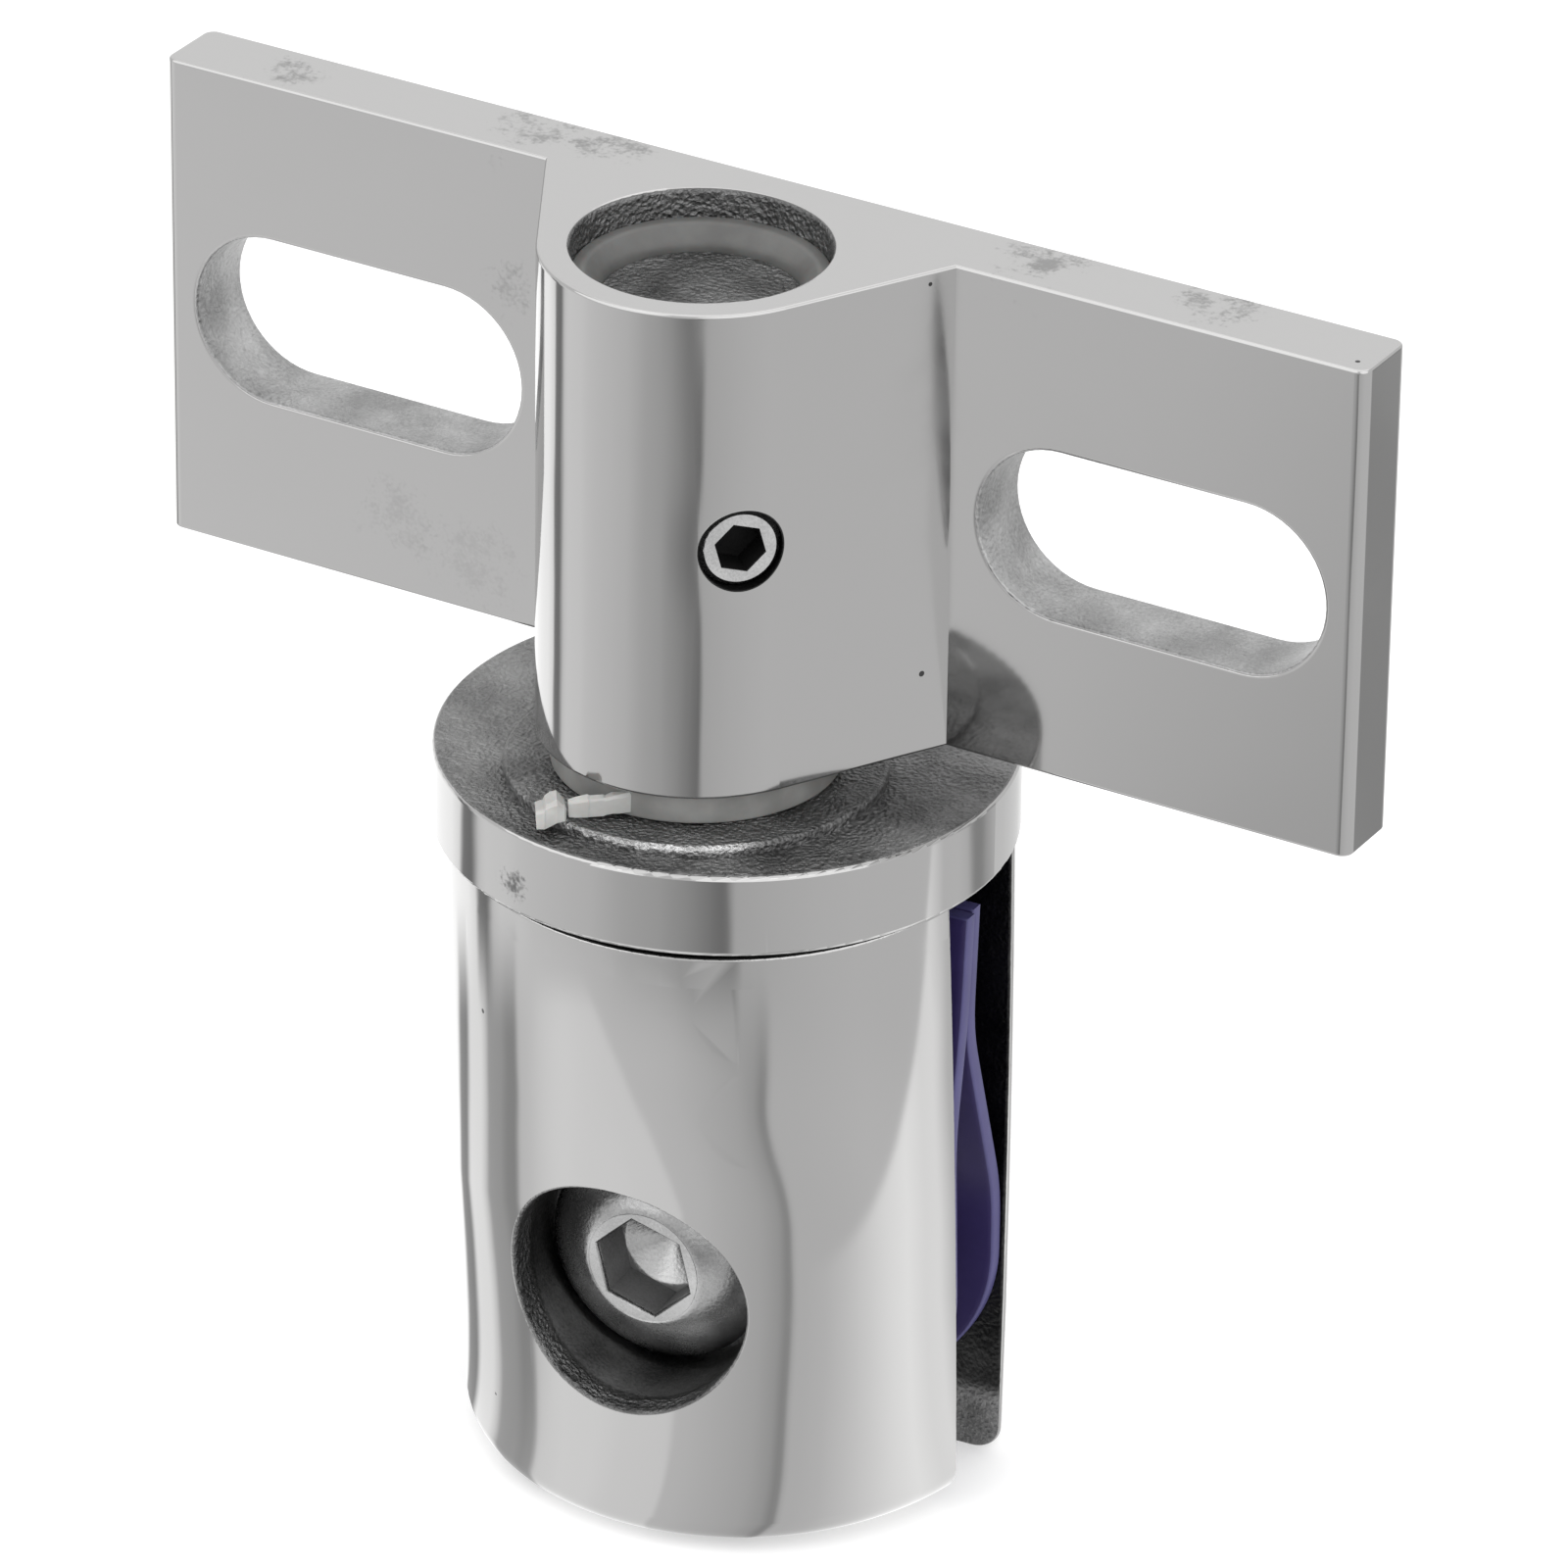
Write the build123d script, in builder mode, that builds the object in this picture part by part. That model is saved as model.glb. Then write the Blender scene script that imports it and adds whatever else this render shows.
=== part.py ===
from build123d import *
import os
from math import cos, radians, sin

# Glass door hinge: a wall plate with a round boss, and a two-jaw glass clamp that turns in it.
# Millimetres. The origin is the centre of the wall face, +Y runs into the wall, +Z is up.

# Wall plate
plate_length = 117.0
plate_height = 45.0
plate_thickness = 7.2
plate_edge_radius = 0.3
plate_corner_radius = 1.1
slot_end_wall = 3.0
slot_length = 33.0
slot_width = 15.5
slot_edge_radius = 0.4

# Boss on the plate, with tangent flanks that run back to the plate
pivot_to_wall = 14.9
boss_diameter = 27.6
boss_root_width = 40.0
bore_diameter = 22.0
bore_edge_radius = 0.4

# Nylon pivot bush: a sleeve and a thrust flange, moulded in one, with its gate stub left on
sleeve_top_recess = 2.5
pivot_clearance = 0.05
flange_diameter = 25.0
flange_thickness = 3.0
flange_edge_radius = 0.3
thrust_clearance = 0.05
stub_start_angle = -6.0
stub_swing = -48.0
stub_length = 5.6
stub_width = 1.3
stub_height = 2.0
stub_block = 2.8

# Set screw in the boss, with a dog point that runs in a groove round the pivot pin
set_screw_diameter = 7.2
set_screw_angle = 46.0
set_screw_height = 0.7
set_screw_sunk = 0.6
set_screw_rim = 0.5
set_screw_hex = 4.0
set_screw_hex_depth = 3.0
set_screw_hex_turn = 45.0
dog_diameter = 5.0
dog_clearance = 0.3
thread_clearance = 0.05

# Pivot body: pin, raised seat, cap and rear jaw, cast in one
clamp_turn = 4.9
pin_diameter = 17.0
pin_top_recess = 4.7
pin_groove_depth = 1.0
pin_groove_play = 0.4
seat_diameter = 33.0
seat_height = 1.0
seat_edge_radius = 0.35
cap_diameter = 50.6
cap_offset = 6.0
cap_height = 7.7
cap_edge_radius = 0.45

# Both jaws are turned to one slightly barrelled outline; the rear one stands under the cap's centre
shell_end_diameter = 49.7
shell_middle_diameter = 50.2
shell_bottom_radius = 2.5
jaw_edge_radius = 0.35
rear_jaw_length = 61.8
rear_face = 8.0
tapped_depth = 13.0

# Front jaw: hangs loosely on its screw, moved in towards the wall, its top leaning out
front_jaw_shift = 0.25
front_jaw_closed = 3.5
front_jaw_lift = 1.15
jaw_lean = 3.3
jaw_top_gap = 0.2124
front_jaw_length = 60.1
front_face = 7.0
jaw_screw_clearance = 0.9
counterbore_diameter = 22.2
counterbore_edge_radius = 0.35
counterbore_floor = 14.2

# Clamp screw
screw_drop = 36.75
screw_diameter = 12.0
screw_length = 30.0
screw_point = 1.2
head_diameter = 20.4
head_land = 1.0
head_dome = 3.3
head_dome_radius = 13.0
head_flat_diameter = 10.8
head_clearance = 0.7
head_hex = 8.0
head_hex_depth = 4.6
head_hex_turn = 43.5

# Two loose pads of soft sheet between the jaws, with their lines seen from the side. The points
# are (distance from the shell's axis towards the wall, height over the screw axis), top end first.
pad_thickness = 1.6
pad_width = 47.0
pad_corner_radius = 16.0
pad_hole_diameter = 14.0
pad_bend_radius = 24.0
front_pad_line = [(-0.45, 33.0), (-1.2, 23.5), (-3.2, 12.0), (-1.35, -20.0)]
rear_pad_line = [(1.3, 33.0), (0.5, 21.0), (7.05, 2.0), (7.05, -20.0)]
rear_pad_shift = -0.3

# Levels and places that follow from the sizes above
boss_radius = boss_diameter / 2
pin_radius = pin_diameter / 2
plate_top = plate_height / 2
plate_bottom = -plate_height / 2
slot_spacing = plate_length - slot_length - 2 * slot_end_wall
flange_bottom = plate_bottom - flange_thickness
seat_top = flange_bottom - thrust_clearance
cap_top = seat_top - seat_height
cap_bottom = cap_top - cap_height
screw_level = cap_bottom - screw_drop
jaw_top_rise = screw_drop - front_jaw_lift - jaw_top_gap + front_face * sin(radians(jaw_lean))
front_jaw_top = jaw_top_rise / cos(radians(jaw_lean))
groove_radius = pin_radius - pin_groove_depth
set_screw_length = boss_radius - set_screw_sunk - bore_diameter / 2
groove_width = dog_diameter + 2 * pin_groove_play
head_seat = cap_offset + front_jaw_closed - counterbore_floor - head_clearance
full_turn = 360

# The pivot axis carries the clamp's own frame, turned a little from the wall plate
pivot_frame = Plane(origin=(0, -pivot_to_wall, 0), x_dir=(1, 0, 0), z_dir=(0, 0, 1))
clamp_frame = pivot_frame.rotated((0, 0, clamp_turn))
set_screw_frame = Plane(
    origin=(0, -pivot_to_wall, set_screw_height),
    x_dir=(cos(radians(set_screw_angle)), sin(radians(set_screw_angle)), 0),
    z_dir=(sin(radians(set_screw_angle)), -cos(radians(set_screw_angle)), 0),
)
stub_root = pivot_frame.rotated((0, 0, stub_start_angle))
stub_frame = Plane(
    origin=stub_root.from_local_coords(Vector(0, stub_width - flange_diameter / 2, flange_bottom)),
    x_dir=pivot_frame.x_dir,
    z_dir=pivot_frame.z_dir,
).rotated((0, 0, stub_swing))


def clamp_plane(x, y, z):
    """An upright plane of the clamp: x along the jaws, y towards the wall, z up, from the pivot axis."""
    return Plane(
        origin=clamp_frame.from_local_coords(Vector(x, y, z)), x_dir=clamp_frame.x_dir, z_dir=clamp_frame.z_dir
    )


shell_frame = clamp_plane(0, cap_offset, screw_level)
jaw_frame = clamp_plane(
    front_jaw_shift, cap_offset + front_jaw_closed, screw_level + front_jaw_lift
).rotated((jaw_lean, 0, 0))
screw_frame = clamp_plane(0, head_seat, screw_level)


def facing_front(frame, y):
    """A plane across the frame's y axis at distance y, its normal towards the front."""
    return Plane(
        origin=frame.from_local_coords(Vector(0, y, 0)), x_dir=frame.x_dir, z_dir=frame.y_dir * -1
    )


def barrel(frame, top, length):
    """The solid of revolution that both jaws are cut from; top is its height over the frame."""
    bottom = top - length
    with BuildPart() as turned:
        with BuildSketch(facing_front(frame, 0)) as half_section:
            with BuildLine():
                side = ThreePointArc(
                    (shell_end_diameter / 2, top),
                    (shell_middle_diameter / 2, (top + bottom) / 2),
                    (shell_end_diameter / 2, bottom),
                )
                Polyline(side @ 1, (0, bottom), (0, top), side @ 0)
            make_face()
            foot = half_section.vertices().group_by(Axis.Y)[0].sort_by(Axis.X)[-1]
            fillet(foot, radius=shell_bottom_radius)
        revolve(axis=Axis(frame.origin, frame.z_dir))
    return turned.part


def hole_edges(faces):
    """The edges round every hole in some flat faces."""
    return [edge for face in faces for wire in face.inner_wires() for edge in wire.edges()]


# Wall bracket: plate and boss, one casting
with BuildPart() as wall_bracket:
    with BuildSketch(Plane.XY.offset(plate_bottom)):
        with Locations((0, -plate_thickness / 2)):
            Rectangle(plate_length, plate_thickness)
    extrude(amount=plate_height)
    end_edges = wall_bracket.edges().filter_by(Axis.Z)
    fillet(end_edges, radius=plate_corner_radius)
    with BuildSketch(Plane.XY.offset(plate_bottom)):
        with BuildLine():
            CenterArc((0, -pivot_to_wall), boss_radius, 0, full_turn)
            Line((-boss_root_width / 2, -plate_thickness), (boss_root_width / 2, -plate_thickness))
        make_hull()
    extrude(amount=plate_height)
    rim_faces = wall_bracket.faces().filter_by(Axis.Z)
    fillet([edge for face in rim_faces for edge in face.outer_wire().edges()], radius=plate_edge_radius)
    with Locations((0, -pivot_to_wall, plate_top)):
        Hole(radius=bore_diameter / 2)
    fillet(hole_edges(wall_bracket.faces().filter_by(Axis.Z)), radius=bore_edge_radius)
    with BuildSketch(Plane(origin=(0, 0, 0), x_dir=(1, 0, 0), z_dir=(0, -1, 0))):
        with GridLocations(slot_spacing, 0, 2, 1):
            SlotOverall(slot_length, slot_width)
    extrude(amount=plate_thickness, mode=Mode.SUBTRACT)
    fillet(hole_edges(wall_bracket.faces().filter_by(Axis.Y)), radius=slot_edge_radius)
    with BuildSketch(set_screw_frame):
        Circle(set_screw_diameter / 2 + thread_clearance)
    extrude(amount=boss_diameter, mode=Mode.SUBTRACT)

# Pivot bush: sleeve in the bore, flange under the boss, gate stub on the flange
with BuildPart() as pivot_bush:
    with BuildSketch(pivot_frame.offset(flange_bottom)):
        Circle(flange_diameter / 2)
    extrude(amount=flange_thickness)
    fillet(pivot_bush.edges(), radius=flange_edge_radius)
    with BuildSketch(pivot_frame.offset(plate_bottom)):
        Circle(bore_diameter / 2)
    extrude(amount=plate_height - sleeve_top_recess)
    with BuildSketch(stub_frame):
        with Locations((0, -stub_length / 2)):
            Rectangle(stub_width, stub_length)
        with Locations((0, -stub_length)):
            Rectangle(stub_block, stub_block)
    extrude(amount=stub_height)
    with Locations((0, -pivot_to_wall, plate_top)):
        Hole(radius=pin_radius + pivot_clearance)
    with BuildSketch(set_screw_frame):
        Circle(dog_diameter / 2 + dog_clearance)
    extrude(amount=boss_diameter, mode=Mode.SUBTRACT)

# Set screw: threaded body in the boss wall, dog point through the bush
with BuildPart() as set_screw:
    with BuildSketch(set_screw_frame.offset(bore_diameter / 2)):
        Circle(set_screw_diameter / 2)
    extrude(amount=set_screw_length)
    outer_end = set_screw.faces().sort_by(Axis(set_screw_frame.origin, set_screw_frame.z_dir))[-1]
    chamfer(outer_end.edges(), length=set_screw_rim)
    with BuildSketch(set_screw_frame.offset(groove_radius + dog_clearance)):
        Circle(dog_diameter / 2)
    extrude(amount=bore_diameter / 2 - groove_radius - dog_clearance)
    with BuildSketch(set_screw_frame.offset(boss_radius - set_screw_sunk)):
        RegularPolygon(set_screw_hex / 2, 6, major_radius=False, rotation=set_screw_hex_turn)
    extrude(amount=-set_screw_hex_depth, mode=Mode.SUBTRACT)

# Rear jaw, cast in one with the pivot body
with BuildPart() as rear_jaw:
    add(barrel(shell_frame, screw_drop, rear_jaw_length))
    split(bisect_by=facing_front(shell_frame, rear_face), keep=Keep.BOTTOM)
    inner_face = rear_jaw.faces().sort_by(Axis(shell_frame.origin, shell_frame.y_dir))[0]
    fillet(inner_face.edges().sort_by(Axis.Z)[:-1], radius=jaw_edge_radius)

# Pivot body: pin, seat, cap and rear jaw
with BuildPart() as pivot_body:
    with BuildSketch(clamp_frame.offset(cap_bottom)):
        with Locations((0, cap_offset)):
            Circle(cap_diameter / 2)
    extrude(amount=cap_height)
    fillet(pivot_body.edges(), radius=cap_edge_radius)
    with BuildSketch(clamp_frame.offset(cap_top)):
        Circle(seat_diameter / 2)
    extrude(amount=seat_height)
    fillet(pivot_body.faces().sort_by(Axis.Z)[-1].edges(), radius=seat_edge_radius)
    with BuildSketch(clamp_frame.offset(seat_top)):
        Circle(pin_radius)
    extrude(amount=plate_top - pin_top_recess - seat_top)
    with BuildSketch(clamp_frame.offset(set_screw_height - groove_width / 2)):
        Circle(pin_diameter)
        Circle(groove_radius, mode=Mode.SUBTRACT)
    extrude(amount=groove_width, mode=Mode.SUBTRACT)
    add(rear_jaw.part)
    with BuildSketch(facing_front(shell_frame, rear_face)):
        Circle(screw_diameter / 2 + thread_clearance)
    extrude(amount=-tapped_depth, mode=Mode.SUBTRACT)

# Front jaw: a half shell with a counterbore for the screw head
with BuildPart() as front_jaw:
    add(barrel(jaw_frame, front_jaw_top, front_jaw_length))
    split(bisect_by=facing_front(jaw_frame, -front_face), keep=Keep.TOP)
    inner_face = front_jaw.faces().sort_by(Axis(jaw_frame.origin, jaw_frame.y_dir))[-1]
    top_face = front_jaw.faces().sort_by(Axis(jaw_frame.origin, jaw_frame.z_dir))[-1]
    fillet(inner_face.edges() + top_face.edges(), radius=jaw_edge_radius)
    with BuildSketch(facing_front(jaw_frame, -counterbore_floor)):
        Circle(counterbore_diameter / 2)
    extrude(amount=shell_middle_diameter, mode=Mode.SUBTRACT)
    bore_wall = front_jaw.faces().filter_by(GeomType.CYLINDER).sort_by(SortBy.AREA)[-1]
    mouth = bore_wall.edges().sort_by(Axis(jaw_frame.origin, jaw_frame.y_dir))[0]
    fillet(mouth, radius=counterbore_edge_radius)
    with BuildSketch(facing_front(jaw_frame, 0)):
        Circle(screw_diameter / 2 + jaw_screw_clearance)
    extrude(amount=shell_middle_diameter, mode=Mode.SUBTRACT)

# Clamp screw: domed head with a hexagon socket, and a plain shank at the thread's outer size
with BuildPart() as clamp_screw:
    with BuildSketch(screw_frame):
        with BuildLine():
            crown = -head_land - head_dome
            flat = Line((0, crown), (head_flat_diameter / 2, crown))
            dome = RadiusArc(flat @ 1, (head_diameter / 2, -head_land), -head_dome_radius)
            Polyline(
                dome @ 1,
                (head_diameter / 2, 0),
                (screw_diameter / 2, 0),
                (screw_diameter / 2, screw_length - screw_point),
                (screw_diameter / 2 - screw_point, screw_length),
                (0, screw_length),
                flat @ 0,
            )
        make_face()
    revolve(axis=Axis(screw_frame.origin, screw_frame.y_dir))
    with BuildSketch(facing_front(screw_frame, -head_land - head_dome)):
        RegularPolygon(head_hex / 2, 6, major_radius=False, rotation=head_hex_turn)
    extrude(amount=-head_hex_depth, mode=Mode.SUBTRACT)


def soft_pad(line, shift):
    """A pad of soft sheet bent along a line of (y, height) points, with a rounded lower end."""
    side_view = Plane(
        origin=shell_frame.from_local_coords(Vector(shift - pad_width / 2, 0, 0)),
        x_dir=shell_frame.y_dir,
        z_dir=shell_frame.x_dir,
    )
    pad_top = line[0][1]
    pad_length = line[0][1] - line[-1][1]
    with BuildPart() as pad:
        with BuildSketch(side_view):
            with BuildLine():
                FilletPolyline(*line, radius=pad_bend_radius)
                offset(amount=pad_thickness / 2, side=Side.BOTH)
            make_face()
        extrude(amount=pad_width)
        with BuildSketch(facing_front(shell_frame, 0)) as outline:
            with Locations((shift, pad_top - pad_length / 2)):
                Rectangle(pad_width, pad_length)
            fillet(outline.vertices().group_by(Axis.Y)[0], radius=pad_corner_radius)
            Circle(pad_hole_diameter / 2, mode=Mode.SUBTRACT)
        extrude(amount=shell_end_diameter / 2, both=True, mode=Mode.INTERSECT)
    return pad.part


# Front and rear pads
with BuildPart() as front_pad:
    add(soft_pad(front_pad_line, 0))
with BuildPart() as rear_pad:
    add(soft_pad(rear_pad_line, rear_pad_shift))

# Names and files
pieces = {
    "wall_bracket": wall_bracket,
    "pivot_bush": pivot_bush,
    "set_screw": set_screw,
    "pivot_body": pivot_body,
    "front_jaw": front_jaw,
    "clamp_screw": clamp_screw,
    "front_pad": front_pad,
    "rear_pad": rear_pad,
}
os.makedirs("parts", exist_ok=True)
for name, piece in pieces.items():
    piece.part.label = name
    export_step(piece.part, f"parts/{name}.step")
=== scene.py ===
import math

import bpy
import numpy as np
from mathutils import Matrix, Vector


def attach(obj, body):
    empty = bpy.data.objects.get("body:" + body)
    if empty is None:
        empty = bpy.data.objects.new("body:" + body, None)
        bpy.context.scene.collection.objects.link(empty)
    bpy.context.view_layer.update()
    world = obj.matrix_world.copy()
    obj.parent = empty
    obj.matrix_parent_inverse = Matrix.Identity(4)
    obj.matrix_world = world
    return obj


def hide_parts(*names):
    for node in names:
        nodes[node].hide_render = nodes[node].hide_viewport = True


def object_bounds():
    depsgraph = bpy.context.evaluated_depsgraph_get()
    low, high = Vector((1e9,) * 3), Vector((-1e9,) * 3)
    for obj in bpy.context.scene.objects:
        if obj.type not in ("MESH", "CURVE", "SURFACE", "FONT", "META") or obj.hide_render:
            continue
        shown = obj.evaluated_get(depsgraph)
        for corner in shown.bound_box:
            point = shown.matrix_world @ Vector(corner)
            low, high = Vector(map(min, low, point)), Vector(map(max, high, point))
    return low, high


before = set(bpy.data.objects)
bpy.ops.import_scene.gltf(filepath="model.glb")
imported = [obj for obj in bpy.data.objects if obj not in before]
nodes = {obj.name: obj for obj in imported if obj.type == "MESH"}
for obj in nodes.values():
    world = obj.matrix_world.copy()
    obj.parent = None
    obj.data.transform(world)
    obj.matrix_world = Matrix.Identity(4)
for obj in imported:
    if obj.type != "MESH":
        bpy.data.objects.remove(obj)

# Glass door hinge: polished wall bracket and clamp, nylon bush, loose pads and a clamp screw.
# Lengths in the dictionaries are millimetres, as on the drawing; meshes are made in metres.
mm = 0.001
cadBox = [list(corner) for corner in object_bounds()]
print("frame loaded:", ", ".join(sorted(nodes)))

# Places shared by several pieces: the pivot axis, and the clamp's own axes turned round it
pivot = {"y": -14.9, "turn": math.radians(4.9)}
shell = {"offset": 6.0, "screwLevel": -71.0}


# Clamp axes (x along the jaws, y towards the wall from the pivot, z up, all mm) to the frame's metres.
def clampPoints(x, y, z):
    c, s = math.cos(pivot["turn"]), math.sin(pivot["turn"])
    return np.stack([x * c - y * s, pivot["y"] + x * s + y * c, z + 0 * x], -1) * mm


# Wall axes measured from the pivot, mm, to the frame's metres.
def pivotPoints(x, y, z):
    return np.stack([x, pivot["y"] + y, z + 0 * x], -1) * mm


# Camera
view = {"azimuth": 30.269, "elevation": 27.973, "roll": 0.773, "distance": 975.64, "aim": (0, -14.9, -22.5),
        "across": 7.397, "above": -5.104, "lens": 263.6, "sensor": 36.0, "near": 0.05, "far": 20.0}


# The camera stands on the line of sight through the aim point, moved across and above in its picture plane.
def placeCamera(v):
    az, el, roll = (math.radians(v[k]) for k in ("azimuth", "elevation", "roll"))
    back = Vector((math.sin(az) * math.cos(el), -math.cos(az) * math.cos(el), math.sin(el)))
    level = Vector((math.cos(az), math.sin(az), 0))
    upward = back.cross(level)
    right = level * math.cos(roll) + upward * math.sin(roll)
    up = upward * math.cos(roll) - level * math.sin(roll)
    place = Vector(v["aim"]) + back * v["distance"] + right * v["across"] + up * v["above"]
    data = bpy.data.cameras.new("camera")
    data.lens, data.sensor_width = v["lens"], v["sensor"]
    data.clip_start, data.clip_end = v["near"], v["far"]
    camera = bpy.data.objects.new("camera", data)
    turn = Matrix((right, up, back)).transposed().to_4x4()
    camera.matrix_world = Matrix.Translation(place * mm) @ turn
    bpy.context.scene.collection.objects.link(camera)
    bpy.context.scene.camera = camera


placeCamera(view)
bpy.context.scene.view_settings.view_transform = "Standard"
print("camera placed")


# Node helpers
def addNode(tree, kind, values=None, **settings):
    node = tree.nodes.new(kind)
    for name, value in settings.items():
        setattr(node, name, value)
    for key, value in (values or {}).items():
        if isinstance(value, bpy.types.NodeSocket):
            tree.links.new(value, node.inputs[key])
        else:
            node.inputs[key].default_value = value
    return node


def calc(tree, operation, *values, clamp=False):
    node = addNode(tree, "ShaderNodeMath", dict(enumerate(values)), operation=operation, use_clamp=clamp)
    return node.outputs[0]


# A vector from one or two others; a scale takes a number as its second value.
def vectorCalc(tree, operation, first, second=None, output="Vector"):
    values = {0: first}
    if second is not None:
        values[3 if operation == "SCALE" else 1] = second
    return addNode(tree, "ShaderNodeVectorMath", values, operation=operation).outputs[output]


def remap(tree, value, low, high, outLow=0.0, outHigh=1.0, smooth=True):
    kind = "SMOOTHSTEP" if smooth else "LINEAR"
    found = addNode(tree, "ShaderNodeMapRange", {0: value, 1: low, 2: high, 3: outLow, 4: outHigh},
                    interpolation_type=kind, clamp=True)
    return found.outputs[0]


def mixColour(tree, mask, first, second):
    return addNode(tree, "ShaderNodeMix", {0: mask, 6: first, 7: second}, data_type="RGBA").outputs[2]


def mixValue(tree, mask, first, second):
    return addNode(tree, "ShaderNodeMix", {0: mask, 2: first, 3: second}, data_type="FLOAT").outputs[0]


def noise(tree, place, scale, detail, roughness=0.5, distortion=0.0):
    return addNode(tree, "ShaderNodeTexNoise", {"Vector": place, "Scale": scale, "Detail": detail,
                                                "Roughness": roughness, "Distortion": distortion}).outputs


def axesOf(tree, place):
    return addNode(tree, "ShaderNodeSeparateXYZ", {0: place}).outputs


def grey(value, tint=0.0):
    return (value * (1 + tint), value, value * (1 - tint), 1)


# A shader node group with named sockets; inputs are (name, kind, value), outputs are (name, kind).
def newGroup(name, inputs, outputs):
    group = bpy.data.node_groups.new(name, "ShaderNodeTree")
    for title, kind, value in inputs:
        made = group.interface.new_socket(title, in_out="INPUT", socket_type="NodeSocket" + kind)
        if value is not None:
            made.default_value = value
    for title, kind in outputs:
        group.interface.new_socket(title, in_out="OUTPUT", socket_type="NodeSocket" + kind)
    return group, group.nodes.new("NodeGroupInput").outputs, group.nodes.new("NodeGroupOutput").inputs


def useGroup(tree, name, values):
    return addNode(tree, "ShaderNodeGroup", values, node_tree=groups[name]).outputs


# Hammered skin of an investment casting: soft lumps from a smooth cell pattern with finer noise on top.
def makeCastGrain():
    g, i, o = newGroup("castGrain", [("Vector", "Vector", None), ("Scale", "Float", 900.0)],
                       [("Height", "Float"), ("Tone", "Float")])
    bent = vectorCalc(g, "SCALE", noise(g, i["Vector"], 260.0, 2.0)["Color"], 0.0016)
    place = vectorCalc(g, "ADD", i["Vector"], bent)
    cells = addNode(g, "ShaderNodeTexVoronoi", {"Vector": place, "Scale": i["Scale"], "Smoothness": 0.6},
                    feature="SMOOTH_F1").outputs
    fine = noise(g, place, calc(g, "MULTIPLY", i["Scale"], 1.7), 4.0, 0.65)["Fac"]
    broad = noise(g, i["Vector"], 170.0, 3.0)["Fac"]
    lumps = calc(g, "MULTIPLY", cells["Distance"], 0.7)
    g.links.new(calc(g, "ADD", lumps, calc(g, "MULTIPLY", fine, 0.6)), o["Height"])
    tone = calc(g, "ADD", calc(g, "MULTIPLY", broad, 0.65), calc(g, "MULTIPLY", fine, 0.45))
    g.links.new(remap(g, tone, 0.35, 0.75), o["Tone"])
    return g


# Handling marks on a polished face: broad smudges, sparse pits, a few hairlines and the waves of the polish.
def makeWear():
    g, i, o = newGroup("wear", [("Vector", "Vector", None), ("Seed", "Float", 0.0)],
                       [("Smudge", "Float"), ("Pits", "Float"), ("Hairlines", "Float"), ("Wave", "Float")])
    shift = addNode(g, "ShaderNodeCombineXYZ", {0: i["Seed"], 1: calc(g, "MULTIPLY", i["Seed"], 0.37)})
    place = vectorCalc(g, "ADD", i["Vector"], shift.outputs[0])
    g.links.new(remap(g, noise(g, place, 48.0, 4.0, 0.6, 0.6)["Fac"], 0.5, 0.78), o["Smudge"])
    cells = addNode(g, "ShaderNodeTexVoronoi", {"Vector": place, "Scale": 210.0}).outputs
    size = addNode(g, "ShaderNodeSeparateColor", {0: cells["Color"]}).outputs[0]
    reach = calc(g, "MULTIPLY", remap(g, size, 0.8, 1.0, smooth=False), 0.075)
    g.links.new(calc(g, "LESS_THAN", cells["Distance"], reach), o["Pits"])
    drawn = addNode(g, "ShaderNodeMapping", {"Vector": place, "Rotation": (0.35, 0.9, 0.5),
                                             "Scale": (1500.0, 55.0, 55.0)}).outputs[0]
    lines = remap(g, noise(g, drawn, 1.0, 1.0)["Fac"], 0.72, 0.8)
    some = remap(g, noise(g, place, 75.0, 1.0)["Fac"], 0.6, 0.72)
    g.links.new(calc(g, "MULTIPLY", lines, some), o["Hairlines"])
    g.links.new(noise(g, place, 95.0, 1.5, 0.35)["Fac"], o["Wave"])
    return g


# 1 inside a cylinder round the line through Centre along Direction, softly 0 outside it.
def makeNearAxis():
    g, i, o = newGroup("nearAxis", [("Vector", "Vector", None), ("Centre", "Vector", None),
                                    ("Direction", "Vector", None), ("Radius", "Float", 0.01),
                                    ("Soft", "Float", 0.0001)], [("Mask", "Float")])
    arm = vectorCalc(g, "SUBTRACT", i["Vector"], i["Centre"])
    across = vectorCalc(g, "CROSS_PRODUCT", arm, i["Direction"])
    away = vectorCalc(g, "LENGTH", across, output="Value")
    g.links.new(remap(g, away, i["Radius"], calc(g, "ADD", i["Radius"], i["Soft"]), 1.0, 0.0), o["Mask"])
    return g


# 1 beyond the plane through Centre with that Normal, softly 0 on its other side.
def makeBeyond():
    g, i, o = newGroup("beyond", [("Vector", "Vector", None), ("Centre", "Vector", None),
                                  ("Normal", "Vector", None), ("Soft", "Float", 0.0001)], [("Mask", "Float")])
    arm = vectorCalc(g, "SUBTRACT", i["Vector"], i["Centre"])
    rise = vectorCalc(g, "DOT_PRODUCT", arm, i["Normal"], output="Value")
    g.links.new(remap(g, rise, 0.0, i["Soft"]), o["Mask"])
    return g


groups = {"grain": makeCastGrain(), "wear": makeWear(), "nearAxis": makeNearAxis(), "beyond": makeBeyond()}


def newMaterial(name):
    material = bpy.data.materials.new(name)
    material.use_nodes = True
    tree = material.node_tree
    surface = tree.nodes["Principled BSDF"]
    place = tree.nodes.new("ShaderNodeTexCoord").outputs["Object"]
    return material, tree, surface, place


# Masks take their spots in metres, radii and soft edges in mm
def insideOf(tree, place, spot, direction, radius, soft=0.1):
    return useGroup(tree, "nearAxis", {"Vector": place, "Centre": tuple(spot), "Direction": direction,
                                       "Radius": radius * mm, "Soft": soft * mm})["Mask"]


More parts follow.
